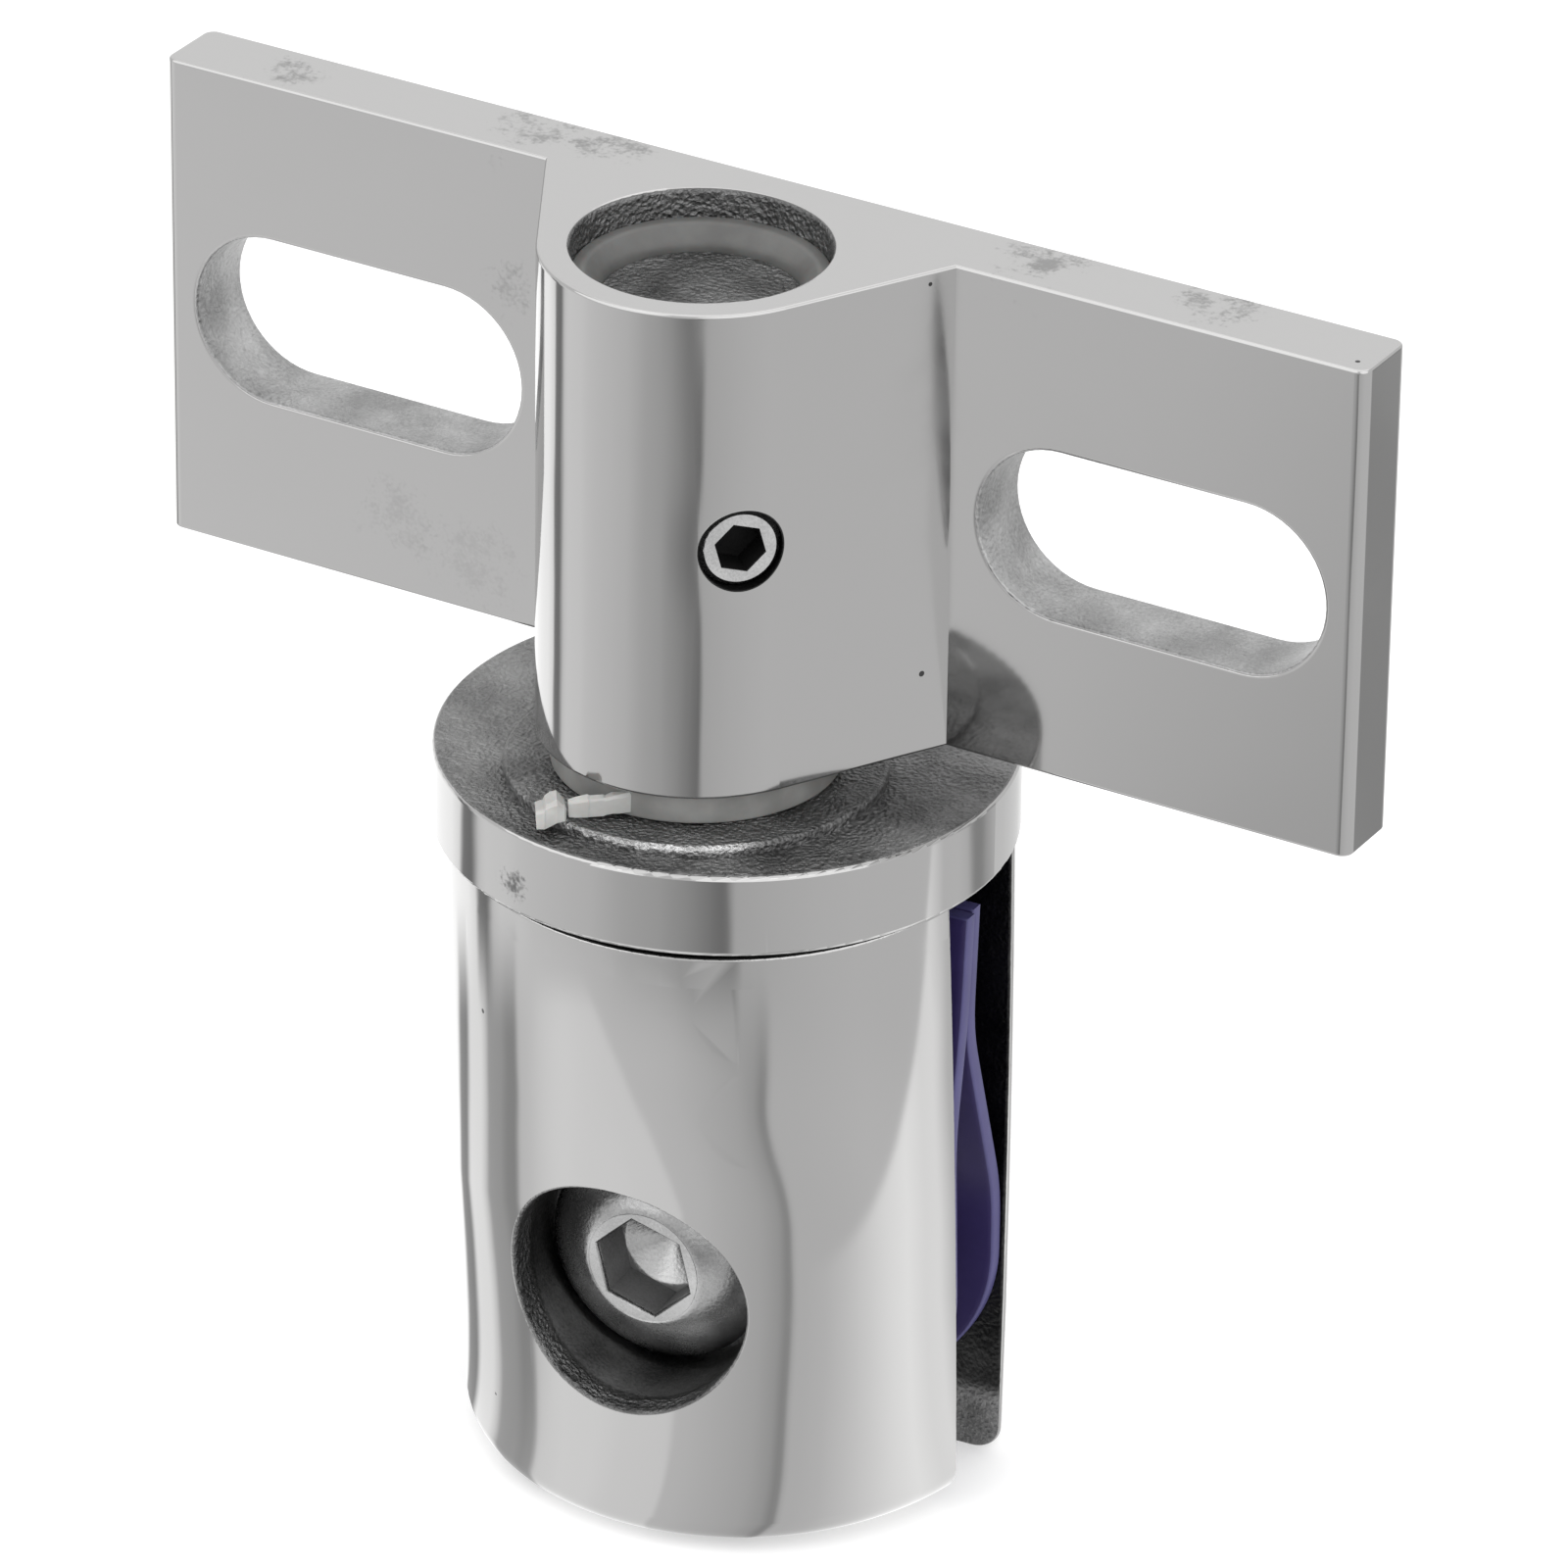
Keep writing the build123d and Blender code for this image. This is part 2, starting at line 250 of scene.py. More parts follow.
def pastPlane(tree, place, spot, normal, soft=0.05):
    return useGroup(tree, "beyond", {"Vector": place, "Centre": tuple(spot), "Normal": normal,
                                     "Soft": soft * mm})["Mask"]


def anyOf(tree, *masks):
    found = masks[0]
    for mask in masks[1:]:
        found = calc(tree, "MAXIMUM", found, mask)
    return found


def allOf(tree, *masks):
    found = masks[0]
    for mask in masks[1:]:
        found = calc(tree, "MULTIPLY", found, mask)
    return found


def without(tree, mask):
    return calc(tree, "SUBTRACT", 1.0, mask)


def addBump(tree, surface, height, distance):
    bump = addNode(tree, "ShaderNodeBump", {"Height": height, "Distance": distance, "Strength": 1.0})
    tree.links.new(bump.outputs[0], surface.inputs["Normal"])
    return bump


# Steel: grey levels, roughnesses and bump depths (mm) of its polished and satin faces and of their wear
steel = {"polished": 0.43, "tint": 0.006, "polishedRough": 0.07, "waveDepth": 0.018,
         "satin": 0.54, "satinRough": 0.3, "satinDepth": 0.003,
         "smudge": 0.5, "smudgeRough": 0.2, "hairlines": 0.35, "hairlineLift": 1.5,
         "pit": 0.06, "pitDepth": 0.03, "grainScale": 2200.0}

# Kinds of place on the steel, later ones over earlier: darkest and lightest grey, roughness, bump depth. The
# slot kind also paints light on the cap's left, the near-black kind is painted shade and the last a painted
# highlight
steelPlaces = {"slotWallAndPaintedLight": (0.28, 0.52, 0.38, 0.15), "bored": (0.09, 0.32, 0.33, 0.03),
               "cast": (0.085, 0.272, 0.36, 0.36), "paintedShade": (0.012, 0.051, 0.36, 0.07),
               "paintedHighlight": (0.17, 0.85, 0.16, 0.03)}

stainLook = {"grey": 0.09, "clumpScale": 420.0, "speckScale": 2600.0, "speckShare": 0.8, "start": 1.05,
             "full": 1.42, "core": 0.1, "coreLift": 0.34, "fade": 0.6}


# Masks of the stains, each (spot in mm, radius, strength): clumps of specks, denser towards the spot and gone
# at the radius
def stainPatches(tree, place, stains):
    s = stainLook
    clump = noise(tree, place, s["clumpScale"], 2.0)["Fac"]
    speck = noise(tree, place, s["speckScale"], 3.0)["Fac"]
    ragged = calc(tree, "ADD", clump, calc(tree, "MULTIPLY", speck, s["speckShare"]))
    patches = []
    for spot, radius, strength in stains:
        away = vectorCalc(tree, "DISTANCE", place, tuple(v * mm for v in spot), output="Value")
        near = remap(tree, away, radius * mm, radius * s["core"] * mm, 0.0, s["coreLift"])
        gate = remap(tree, away, radius * mm, radius * s["fade"] * mm, 0.0, strength)
        specks = remap(tree, calc(tree, "ADD", near, ragged), s["start"], s["full"])
        patches.append(calc(tree, "MULTIPLY", specks, gate))
    return patches


# Polished steel; regions gives the masks of its satin face and other places from (tree, place), and barrel says
# where a barrelled skin takes its true normal
def steelFinish(name, seed, regions, stains=(), barrel=None):
    material, tree, surface, place = newMaterial(name)
    wear = useGroup(tree, "wear", {"Vector": place, "Seed": seed})
    grain = useGroup(tree, "grain", {"Vector": place, "Scale": steel["grainScale"]})
    found = regions(tree, place)
    satin = found.get("satin", 0.0)
    colour = mixColour(tree, satin, grey(steel["polished"], steel["tint"]), grey(steel["satin"], steel["tint"]))
    colour = mixColour(tree, calc(tree, "MULTIPLY", wear["Hairlines"], steel["hairlines"]), colour,
                       grey(steel["polished"] * steel["hairlineLift"]))
    for patch in stainPatches(tree, place, stains) if stains else ():
        colour = mixColour(tree, patch, colour, grey(stainLook["grey"]))
    shine = mixValue(tree, calc(tree, "MULTIPLY", wear["Smudge"], steel["smudge"]), steel["polishedRough"],
                     steel["smudgeRough"])
    shine = mixValue(tree, satin, shine, steel["satinRough"])

    def grainOn(mask, depth):
        return calc(tree, "MULTIPLY", calc(tree, "MULTIPLY", grain["Height"], mask), depth)

    height = calc(tree, "MULTIPLY", wear["Wave"], steel["waveDepth"])
    height = calc(tree, "ADD", height, grainOn(satin, steel["satinDepth"]))
    covered = 0.0
    for kind, (low, high, rough, depth) in steelPlaces.items():
        if kind not in found:
            continue
        mask = found[kind]
        colour = mixColour(tree, mask, colour, mixColour(tree, grain["Tone"], grey(low), grey(high)))
        shine = mixValue(tree, mask, shine, rough)
        height = calc(tree, "ADD", height, grainOn(mask, depth))
        covered = calc(tree, "ADD", covered, mask, clamp=True)
    pits = calc(tree, "MULTIPLY", wear["Pits"], without(tree, covered))
    colour = mixColour(tree, pits, colour, grey(steel["pit"]))
    height = calc(tree, "SUBTRACT", height, calc(tree, "MULTIPLY", pits, steel["pitDepth"]))
    tree.links.new(colour, surface.inputs["Base Color"])
    surface.inputs["Metallic"].default_value = 1.0
    tree.links.new(shine, surface.inputs["Roughness"])
    bump = addBump(tree, surface, height, mm)
    if barrel:
        tree.links.new(barrelNormal(tree, place, barrel), bump.inputs["Normal"])
    return material


# The true normal of a barrelled shell of revolution on its skin, the mesh's own normal elsewhere: straight out
# from the axis, and along it by the slope of the barrel.
def barrelNormal(tree, place, b):
    arm = vectorCalc(tree, "SUBTRACT", place, tuple(b["middle"]))
    level = vectorCalc(tree, "DOT_PRODUCT", arm, b["axis"], output="Value")
    out = vectorCalc(tree, "SUBTRACT", arm, vectorCalc(tree, "SCALE", b["axis"], level))
    away = vectorCalc(tree, "LENGTH", out, output="Value")
    part = calc(tree, "DIVIDE", level, b["half"] * mm)
    drop = calc(tree, "MULTIPLY", calc(tree, "MULTIPLY", part, part), b["sag"] * mm)
    outer = remap(tree, calc(tree, "ADD", away, drop), (b["radius"] - 0.07) * mm, (b["radius"] - 0.04) * mm)
    skin = allOf(tree, outer, calc(tree, "LESS_THAN", calc(tree, "ABSOLUTE", part), b["reach"]))
    slope = calc(tree, "MULTIPLY", part, 2 * b["sag"] / b["half"])
    true = vectorCalc(tree, "ADD", vectorCalc(tree, "NORMALIZE", out),
                      vectorCalc(tree, "SCALE", b["axis"], slope))
    world = addNode(tree, "ShaderNodeVectorTransform", {0: true}, vector_type="NORMAL",
                    convert_from="OBJECT", convert_to="WORLD").outputs[0]
    own = tree.nodes.new("ShaderNodeNewGeometry").outputs["Normal"]
    mixed = addNode(tree, "ShaderNodeMix", {0: skin, 4: own, 5: world}, data_type="VECTOR").outputs[1]
    return vectorCalc(tree, "NORMALIZE", mixed)


bracketFinish = {"bore": 11.12, "slotHalf": 8.75, "slotRadius": 7.72, "slotCentre": 39.0, "top": 22.48,
                 "stains": [((-47.5, -3.2, 22.5), 4.0, 0.5), ((-24.0, -3.0, 22.5), 5.5, 0.45),
                            ((-17.0, -2.2, 22.5), 6.0, 0.5), ((25.5, -3.0, 22.5), 6.0, 0.5),
                            ((42.5, -2.2, 22.5), 6.0, 0.5), ((-23.5, -7.2, 9.5), 4.0, 0.3),
                            ((-35.0, -7.2, -15.0), 6.0, 0.14), ((-27.0, -7.2, -17.5), 7.0, 0.12)]}
setScrew = {"angle": math.radians(46.0), "level": 0.7, "hole": 3.72, "face": 13.2, "hex": 2.5}


# Direction from the pivot out through the set screw
def setScrewWay():
    return Vector((math.sin(setScrew["angle"]), -math.cos(setScrew["angle"]), 0))


# Cast bore, slot walls, satin top and back, and painted shade in the hole of the set screw
def bracketRegions(tree, place):
    b = bracketFinish
    bore = insideOf(tree, place, Vector((0, pivot["y"], 0)) * mm, (0, 0, 1), b["bore"], 0.12)
    xyz = axesOf(tree, place)
    wall = b["slotRadius"] + 0.1
    level = remap(tree, calc(tree, "ABSOLUTE", xyz[2]), wall * mm, (wall + 0.15) * mm, 1.0, 0.0)
    slots = []
    for side in (-1, 1):
        across = calc(tree, "ABSOLUTE", calc(tree, "SUBTRACT", xyz[0], side * b["slotCentre"] * mm))
        slots.append(allOf(tree, calc(tree, "LESS_THAN", across, b["slotHalf"] * mm), level))
        for end in (-1, 1):
            middle = Vector((side * b["slotCentre"] + end * b["slotHalf"], 0, 0)) * mm
            slots.append(insideOf(tree, place, middle, (0, 1, 0), wall, 0.15))
    top = pastPlane(tree, place, Vector((0, 0, b["top"] - 0.05)) * mm, (0, 0, 1))
    back = pastPlane(tree, place, Vector((0, -0.05, 0)) * mm, (0, 1, 0))
    way = setScrewWay()
    start = Vector((0, pivot["y"], setScrew["level"])) * mm
    # Painted shade: near-black on the wall of the set screw's hole
    hole = allOf(tree, insideOf(tree, place, start, tuple(way), setScrew["hole"], 0.06),
                 pastPlane(tree, place, start + way * 5.0 * mm, tuple(way)))
    return {"cast": bore, "slotWallAndPaintedLight": anyOf(tree, *slots), "satin": anyOf(tree, top, back), "paintedShade": hole}


bodyFinish = {"capTop": -26.55, "capUnder": -34.2, "face": 8.0, "seat": 16.5, "seatTop": -25.55,
              "roughEnd": -90.5, "paintedLightLeft": (-9.0, -20.0), "highlightFront": (-9.0, -12.5),
              "highlightLeft": (-8.0, -4.0), "stains": [((-7.0, -33.4, -31.3), 2.6, 0.85)]}


def clampDirection(x, y, z):
    c, s = math.cos(pivot["turn"]), math.sin(pivot["turn"])
    return (x * c - y * s, x * s + y * c, z)


# Cast cap top with painted light on its left; painted shade under the cap and on the jaw's inner face, whose
# end is cast; and a painted highlight on the front of the seat's edge
def bodyRegions(tree, place):
    b = bodyFinish
    xyz = axesOf(tree, place)

    def above(level, soft=0.05):
        return pastPlane(tree, place, Vector((0, 0, level)) * mm, (0, 0, 1), soft)

    capTop = above(b["capTop"] - 0.12, 0.1)
    # Painted light: the cap top paler towards the left, in the slot walls' lighter greys
    left = allOf(tree, capTop, remap(tree, xyz[0], *(v * mm for v in b["paintedLightLeft"])))
    top = allOf(tree, capTop, without(tree, calc(tree, "MULTIPLY", left, 0.5)))
    face = clampPoints(0.0, shell["offset"] + b["face"] + 0.06, 0.0)
    inner = without(tree, pastPlane(tree, place, face, clampDirection(0, 1, 0)))
    below = without(tree, above(b["capUnder"] - 0.1))
    under = allOf(tree, without(tree, above(b["capUnder"] + 0.1)),
                  without(tree, allOf(tree, below, without(tree, inner))))
    # Painted shade: near-black under the cap and on the jaw's inner face above its cast end
    inShade = anyOf(tree, allOf(tree, inner, below), under)
    end = without(tree, above(b["roughEnd"] - 1.5, 3.0))
    # Painted highlight: a pale, smooth ring on the front of the seat's edge
    axis = Vector((0, pivot["y"], 0)) * mm
    rim = allOf(tree, insideOf(tree, place, axis, (0, 0, 1), b["seat"] + 0.02, 0.05),
                without(tree, insideOf(tree, place, axis, (0, 0, 1), b["seat"] - 0.5, 0.25)),
                above(b["seatTop"] - 0.75, 0.3), without(tree, above(b["seatTop"] + 0.3)),
                remap(tree, xyz[1], *((pivot["y"] + v) * mm for v in b["highlightFront"])),
                remap(tree, xyz[0], *(v * mm for v in b["highlightLeft"])))
    return {"cast": anyOf(tree, top, allOf(tree, inner, end)), "paintedShade": allOf(tree, inShade, without(tree, end)),
            "paintedHighlight": rim, "slotWallAndPaintedLight": left}


jawFinish = {"shift": 0.25, "closed": 3.5, "lift": 1.15, "lean": math.radians(3.3), "bore": 11.1, "face": 7.0,
             "lip": 21.6, "top": 35.85, "long": 60.1, "radius": 25.1, "sag": 0.25, "reach": 0.9}


# Jaw axes (mm, from the shell's centre at the screw's level, leaning out about X) to the frame's metres.
def jawPoint(x, y, z):
    j = jawFinish
    c, s = math.cos(j["lean"]), math.sin(j["lean"])
    along, across, up = clampDirection(x, y, z)
    foot = clampPoints(j["shift"], shell["offset"] + j["closed"], shell["screwLevel"] + j["lift"])
    return foot + np.array((along, across * c - up * s, across * s + up * c)) * mm


# Bored counterbore, cast at its mouth, and painted shade on the inner face
def jawRegions(tree, place):
    j = jawFinish
    axis = Vector(jawPoint(0.0, 1.0, 0.0)) - Vector(jawPoint(0.0, 0.0, 0.0))
    axis.normalize()
    bore = insideOf(tree, place, jawPoint(0.0, 0.0, 0.0), tuple(axis), j["bore"] + 0.1, 0.2)
    inner = pastPlane(tree, place, jawPoint(0.0, -j["face"] - 0.12, 0.0), tuple(axis), 0.06)
    middle = clampPoints(0.0, shell["offset"] + j["closed"], 0.0)
    mouth = without(tree, insideOf(tree, place, middle, (0, 0, 1), j["lip"], 1.2))
    return {"bored": allOf(tree, bore, without(tree, mouth)), "cast": allOf(tree, bore, mouth),
            "paintedShade": allOf(tree, inner, without(tree, bore))}


def jawBarrel():
    j = jawFinish
    axis = Vector(jawPoint(0.0, 0.0, 1.0)) - Vector(jawPoint(0.0, 0.0, 0.0))
    return {"middle": jawPoint(0.0, 0.0, j["top"] - j["long"] / 2), "axis": tuple(axis.normalized()),
            "half": j["long"] / 2, "radius": j["radius"], "sag": j["sag"], "reach": j["reach"]}


materials = {
    "bracket": steelFinish("bracketSteel", 0.0, bracketRegions, bracketFinish["stains"]),
    "body": steelFinish("clampSteel", 0.31, bodyRegions, bodyFinish["stains"]),
    "jaw": steelFinish("jawSteel", 0.57, jawRegions, (), jawBarrel()),
}


# Screws, nylon and pads
# Screw steel with near-black painted shade in the socket from its start to its floor, measured inwards from a
# spot on the axis
def screwFinish(name, seed, low, high, rough, socket):
    material, tree, surface, place = newMaterial(name)
    wear = useGroup(tree, "wear", {"Vector": place, "Seed": seed})
    grain = useGroup(tree, "grain", {"Vector": place, "Scale": 2600.0})
    tone = mixColour(tree, grain["Tone"], grey(low), grey(high))
    tone = mixColour(tree, calc(tree, "MULTIPLY", wear["Smudge"], 0.7), tone, grey(low * 0.7))
    spot, way = Vector(socket["spot"]), socket["way"]
    shadedSocket = allOf(tree, insideOf(tree, place, spot, tuple(way), socket["radius"]),
                   pastPlane(tree, place, spot + way * socket["start"] * mm, tuple(way)),
                   without(tree, pastPlane(tree, place, spot + way * socket["floor"] * mm, tuple(way))))
    # The socket's near-black colour is painted shade
    socketShade = mixColour(tree, grain["Tone"], grey(socket["shade"] * 0.6), grey(socket["shade"] * 1.4))
    tree.links.new(mixColour(tree, shadedSocket, tone, socketShade), surface.inputs["Base Color"])
    tree.links.new(without(tree, shadedSocket), surface.inputs["Metallic"])
    shine = remap(tree, grain["Tone"], 0.0, 1.0, rough * 0.85, rough * 1.15, smooth=False)
    tree.links.new(mixValue(tree, shadedSocket, shine, 0.5), surface.inputs["Roughness"])
    surface.inputs["Specular IOR Level"].default_value = 0.12  # shows in the black socket, not on the metal
    addBump(tree, surface, grain["Height"], 0.02 * mm)
    return material


nylonLook = {"mottleScale": 260.0, "rough": 0.42, "scatter": 0.15, "scatterDepth": 0.8, "bump": 0.06}


# Milky nylon; above the shaded level it gets painted shade, half its colour, where it stands in the dark bore
def nylonFinish(name, low, high, shaded=100.0):
    material, tree, surface, place = newMaterial(name)
    mottle = noise(tree, place, nylonLook["mottleScale"], 4.0)["Fac"]
    colour = mixColour(tree, remap(tree, mottle, 0.3, 0.7), (low, low, low * 0.97, 1),
                       (high, high, high * 0.97, 1))
    # Painted shade: half as bright above the shaded level
    boreShade = pastPlane(tree, place, Vector((0, 0, shaded)) * mm, (0, 0, 1))
    colour = mixColour(tree, boreShade, colour, mixColour(tree, 0.5, colour, grey(0.0)))
    tree.links.new(colour, surface.inputs["Base Color"])
    surface.inputs["Roughness"].default_value = nylonLook["rough"]
    surface.inputs["Subsurface Weight"].default_value = nylonLook["scatter"]
    surface.inputs["Subsurface Scale"].default_value = nylonLook["scatterDepth"] * mm
    addBump(tree, surface, mottle, nylonLook["bump"] * mm)
    return material


padLook = {"cloudScale": 240.0, "dustScale": 330.0, "dustSize": 0.09, "dustRarity": 0.95, "dustShare": 0.6,
           "dust": (0.5, 0.5, 0.52, 1), "bump": 0.05}


# Blue-violet sheet rubber with faint clouds and a few light specks of dust
def padFinish(name, low, high, rough):
    material, tree, surface, place = newMaterial(name)
    p = padLook
    cells = addNode(tree, "ShaderNodeTexVoronoi", {"Vector": place, "Scale": p["dustScale"]}).outputs
    pick = addNode(tree, "ShaderNodeSeparateColor", {0: cells["Color"]}).outputs[1]
    speck = calc(tree, "MULTIPLY", calc(tree, "LESS_THAN", cells["Distance"], p["dustSize"]),
                 calc(tree, "GREATER_THAN", pick, p["dustRarity"]))
    cloud = noise(tree, place, p["cloudScale"], 4.0)["Fac"]
    colour = mixColour(tree, calc(tree, "MULTIPLY", speck, p["dustShare"]), mixColour(tree, cloud, low, high),
                       p["dust"])
    tree.links.new(colour, surface.inputs["Base Color"])
    surface.inputs["Roughness"].default_value = rough
    addBump(tree, surface, cloud, p["bump"] * mm)
    return material


crownSpot = tuple(clampPoints(0.0, -9.7, shell["screwLevel"]))
faceSpot = (Vector((0, pivot["y"], setScrew["level"])) + setScrewWay() * setScrew["face"]) * mm
materials["screw"] = screwFinish("screwSteel", 0.8, 0.34, 0.56, 0.27,
                                 {"spot": crownSpot, "way": Vector(clampDirection(0, 1, 0)), "start": 0.4,
                                  "floor": 4.55, "radius": 5.0, "shade": 0.13})
materials["setScrew"] = screwFinish("setScrewSteel", 0.2, 0.42, 0.66, 0.16,
                                    {"spot": faceSpot, "way": -setScrewWay(), "start": 0.12,
                                     "floor": 9.0, "radius": setScrew["hex"], "shade": 0.01})
materials["nylon"] = nylonFinish("nylonBush", 0.2, 0.28, 10.0)
# The stub's copy of the nylon is paler than the bush's: painted light
materials["stub"] = nylonFinish("nylonStubPaintedLight", 0.4, 0.56)
materials["pad"] = padFinish("padSheet", (0.02, 0.013, 0.07, 1), (0.042, 0.03, 0.13, 1), 0.45)
# The cut edge's paler copy of the pad colour is painted light
materials["padEdge"] = padFinish("padCutEdgeLit", (0.042, 0.037, 0.13, 1), (0.08, 0.072, 0.21, 1), 0.55)
print("materials made:", len(materials))

for node, finish in (("wall_bracket", "bracket"), ("pivot_body", "body"), ("front_jaw", "jaw"),
                     ("set_screw", "setScrew")):
    nodes[node].data.materials.clear()
    nodes[node].data.materials.append(materials[finish])


# Mesh helpers
# A skin through closed rings of points, array (rings, points, 3) in metres; wrap joins the last to the first.
def ringMesh(name, rings, material, wrap=False, sharp=30.0):
    rows, cols = rings.shape[:2]
    index = np.arange(rows * cols).reshape(rows, cols)
    lower = index if wrap else index[:-1]
    upper = np.roll(index, -1, 0) if wrap else index[1:]
    quads = np.stack([lower, np.roll(lower, -1, 1), np.roll(upper, -1, 1), upper], -1).reshape(-1, 4)
    faces = quads.tolist()
    points = rings.reshape(-1, 3)
    if not wrap:
        middles = np.stack([rings[0].mean(0), rings[-1].mean(0)])
        first, last = rows * cols, rows * cols + 1
        points = np.vstack([points, middles])
        near, far = index[0], index[-1]
        faces += np.stack([np.roll(near, -1), near, np.full(cols, first)], -1).tolist()
        faces += np.stack([far, np.roll(far, -1), np.full(cols, last)], -1).tolist()
    mesh = bpy.data.meshes.new(name)
    mesh.from_pydata(points.tolist(), [], faces)
    mesh.polygons.foreach_set("use_smooth", np.ones(len(mesh.polygons), bool))
    mesh.set_sharp_from_angle(angle=math.radians(sharp))
    mesh.materials.append(material)
    mesh.update()
    piece = bpy.data.objects.new(name, mesh)
    bpy.context.scene.collection.objects.link(piece)
    return piece


# A polyline of (radius, height, rounding) corners; a rounded corner becomes the parabola from the rounding's
# length before it to the same length after it, in small chords.
def roundedProfile(corners, steps=4):
    made = []
    count = len(corners)
    for k, (x, y, r) in enumerate(corners):
        here = np.array((x, y), float)
        if r == 0:
            made.append(here[None])
            continue
        before = np.array(corners[(k - 1) % count][:2], float) - here
        after = np.array(corners[(k + 1) % count][:2], float) - here
        start = here + before / np.linalg.norm(before) * r
        end = here + after / np.linalg.norm(after) * r
        t = np.linspace(0, 1, steps + 1)[:, None]
        made.append((1 - t) ** 2 * start + 2 * t * (1 - t) * here + t ** 2 * end)
    return np.vstack(made)


# Clamp screw
clampScrew = {"seat": -5.4, "head": 10.2, "land": 1.0, "dome": 3.3, "domeRadius": 13.0, "flat": 5.4,
              "hex": 4.0, "hexTurn": 43.5, "hexDepth": 4.6, "drill": 3.93, "drillDepth": 6.6,
              "shank": 6.0, "length": 30.0, "pitch": 1.75, "threadDepth": 0.95, "point": 1.2,
              "points": 144, "perPitch": 12}


# Rings round the screw's own axis, heights along it from the seat: circles on the drilled floor, a hexagon of
# radius half width / cos(angle from the flat's middle) in the socket, circles on an arc for the dome, and on
# the shank a radius that falls and rises once a pitch, shifted by the angle's share of a turn.
def screwRings(s):
    phi = np.arange(s["points"]) * 2 * math.pi / s["points"] + math.radians(s["hexTurn"])
    crown = -s["land"] - s["dome"]
    wedge = np.mod(phi - phi[0], math.pi / 3) - math.pi / 6
    hexRadius = s["hex"] / np.cos(wedge)
    floor = crown + s["hexDepth"]
    circle = np.ones_like(phi)
    rows = [(circle * s["drill"] * k, circle * (floor + (s["drillDepth"] - s["hexDepth"]) * (1 - k)))
            for k in (0.03, 0.3, 0.6, 0.85, 0.97, 1.0)]
    rows += [(hexRadius, circle * (floor + d)) for d in (-0.02, -0.4, -1.2, -2.4, -3.6, 0.28 - s["hexDepth"])]
    rows += [(hexRadius + 0.08, np.full_like(phi, crown + 0.1)), (hexRadius + 0.2, np.full_like(phi, crown))]
    inner = np.maximum(hexRadius + 0.2, s["flat"] - 0.25)
    rows += [(inner + (s["flat"] - 0.22 - inner) * 0.5, np.full_like(phi, crown + 0.02))]
    rows += [(circle * (s["flat"] - d), circle * (crown - e)) for d, e in ((0.14, 0.03), (0.0, 0.01))]
    # Dome: an arc of the given radius through the flat's edge and the land
    a = np.array((s["flat"], crown))
    b = np.array((s["head"], -s["land"]))
    half = (b - a) / 2
    normal = np.array((-half[1], half[0])) / np.linalg.norm(half)
    centre = a + half + normal * math.sqrt(s["domeRadius"] ** 2 - half @ half)
    start, end = (math.atan2(*(q - centre)[::-1]) for q in (a, b))
    for t in np.linspace(start, end, 16)[1:]:
        q = centre + s["domeRadius"] * np.array((math.cos(t), math.sin(t)))
        rows.append((circle * q[0], circle * q[1]))
    rows += [(circle * s["head"], circle * y) for y in (-s["land"] + 0.15, -0.3)]
    rows += [(circle * (s["head"] - d), circle * y) for d, y in ((0.09, -0.09), (0.3, 0.0), (2.0, 0.0))]
    rows += [(circle * (s["shank"] - 0.3), circle * 0.02)]
    depths = np.arange(0.15, s["length"] - 0.02, s["pitch"] / s["perPitch"])
    for y in depths:
        turnPart = np.mod((y + s["pitch"] * phi / (2 * math.pi)) / s["pitch"], 1.0)
        wave = np.clip(np.abs(turnPart - 0.5) * 2.4 - 0.15, 0, 1)
        run = min(1.0, (y + 0.4) / 1.2)
        crest = min(s["shank"], s["shank"] - s["point"] + (s["length"] - y))
        rows.append((np.minimum(crest, s["shank"] - s["threadDepth"] * wave * run), np.full_like(phi, y)))
    rows.append((circle * (s["shank"] - s["point"]), circle * s["length"]))
    radius, along = np.array([r for r, y in rows]), np.array([y for r, y in rows])
    return clampPoints(radius * np.cos(phi), s["seat"] + along, shell["screwLevel"] + radius * np.sin(phi))


headScrew = ringMesh("clampScrew", screwRings(clampScrew)[:, ::-1], materials["screw"], sharp=28.0)
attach(headScrew, "screw")
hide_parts("clamp_screw")
print("clamp screw made")

# Nylon bush
bush = {"bore": 8.55, "sleeve": 11.0, "flange": 12.5, "bottom": -25.5, "shoulder": -22.5, "top": 20.0,
        "lead": (1.3, 1.7), "pocket": 2.6, "pocketFloor": 9.8, "points": 240}


# The bush's closed profile, with small roundings, turned round the pivot; outer points nearer to the set
# screw's axis than the pocket's radius are set back to the pocket's floor.
def bushRings(b):
    corners = [(b["bore"], b["bottom"], 0.2), (b["flange"], b["bottom"], 0.3),
               (b["flange"], b["shoulder"], 0.3), (b["sleeve"], b["shoulder"], 0.1),
               *((b["sleeve"], z, 0) for z in np.arange(-3.0, 4.5, 0.4) + setScrew["level"] - 0.7),
               (b["sleeve"], b["top"], 0.3),
               (b["bore"] + b["lead"][0], b["top"], 0.35), (b["bore"], b["top"] - b["lead"][1], 0.6)]
    profile = roundedProfile(corners)
    phi = np.arange(b["points"]) * 2 * math.pi / b["points"]
    r, z = profile[:, :1] + 0 * phi, profile[:, 1:] + 0 * phi
    turn = phi - setScrew["angle"] + math.pi / 2
    near = np.hypot(r * np.sin(turn), z - setScrew["level"]) < b["pocket"]
    r = np.where(near & (np.cos(turn) > 0) & (r > b["sleeve"] - 0.2), b["pocketFloor"], r)
    return pivotPoints(r * np.cos(phi), r * np.sin(phi), z)


sleeve = ringMesh("nylonBush", bushRings(bush), materials["nylon"], wrap=True)
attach(sleeve, "bracket")
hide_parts("pivot_bush")
print("bush made")

